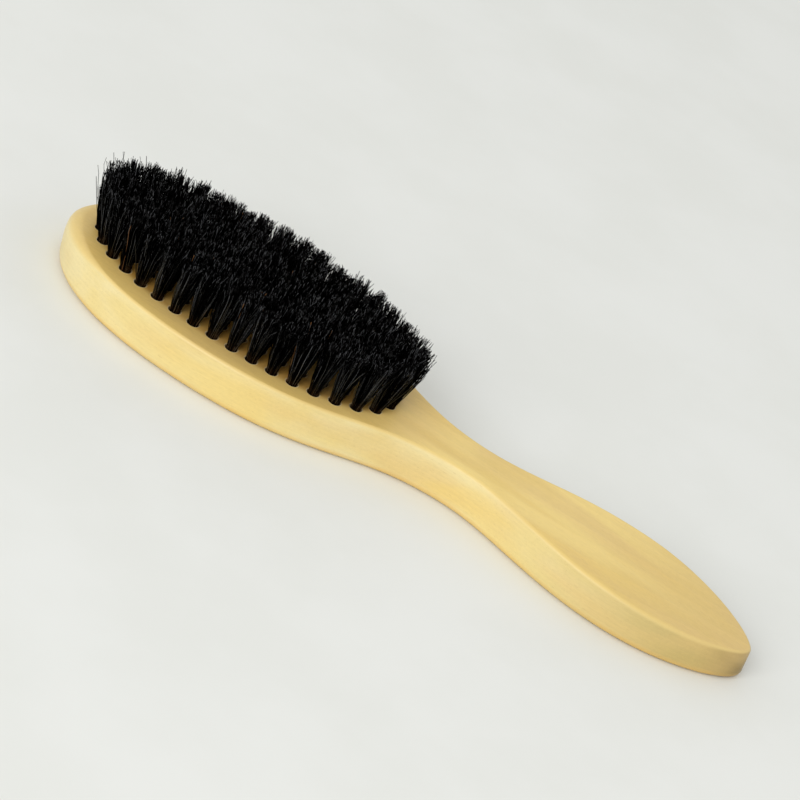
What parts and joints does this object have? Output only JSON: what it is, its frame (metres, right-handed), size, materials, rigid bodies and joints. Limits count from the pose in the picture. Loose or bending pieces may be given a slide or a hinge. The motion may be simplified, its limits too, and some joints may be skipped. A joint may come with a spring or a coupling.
{
  "type": "clothes brush",
  "caption": "Wooden clothes brush with an oval head, narrow waist and leaf-shaped handle, and stiff black bristle tufts set in drilled holes.",
  "frame": {"origin": "on the flat back face, on the centre line, under the middle of the tuft field", "axes": "+X along the brush from the toe of the head to the tip of the handle, +Y across it, +Z out of the back face towards the bristle tips"},
  "size_m": [0.2697, 0.0748, 0.0346],
  "materials": {
    "lacquered_wood": "pale yellow close-grained wood with fine lengthwise grain and small pores, under a thin satin lacquer",
    "black_bristle": "stiff black natural bristle with small bright glints and dark brown roots",
    "anchor_wire": "plain flat steel wire"
  },
  "bodies": {
    "root": {"stock": "lacquered_wood", "rim_tufts_1": "black_bristle", "rim_tufts_2": "black_bristle", "rim_tufts_3": "black_bristle", "rim_tufts_4": "black_bristle", "rim_tufts_5": "black_bristle", "rim_tufts_6": "black_bristle", "rim_tufts_7": "black_bristle", "rim_tufts_8": "black_bristle", "second_tufts_1": "black_bristle", "second_tufts_2": "black_bristle", "second_tufts_3": "black_bristle", "second_tufts_4": "black_bristle", "second_tufts_5": "black_bristle", "second_tufts_6": "black_bristle", "third_tufts_1": "black_bristle", "third_tufts_2": "black_bristle", "third_tufts_3": "black_bristle", "third_tufts_4": "black_bristle", "centre_tufts_1": "black_bristle", "centre_tufts_2": "black_bristle", "rim_anchors_1": "anchor_wire", "rim_anchors_2": "anchor_wire", "rim_anchors_3": "anchor_wire", "rim_anchors_4": "anchor_wire", "rim_anchors_5": "anchor_wire", "rim_anchors_6": "anchor_wire", "rim_anchors_7": "anchor_wire", "rim_anchors_8": "anchor_wire", "second_anchors_1": "anchor_wire", "second_anchors_2": "anchor_wire", "second_anchors_3": "anchor_wire", "second_anchors_4": "anchor_wire", "second_anchors_5": "anchor_wire", "second_anchors_6": "anchor_wire", "third_anchors_1": "anchor_wire", "third_anchors_2": "anchor_wire", "third_anchors_3": "anchor_wire", "third_anchors_4": "anchor_wire", "centre_anchors_1": "anchor_wire", "centre_anchors_2": "anchor_wire"}
  },
  "joints": []
}
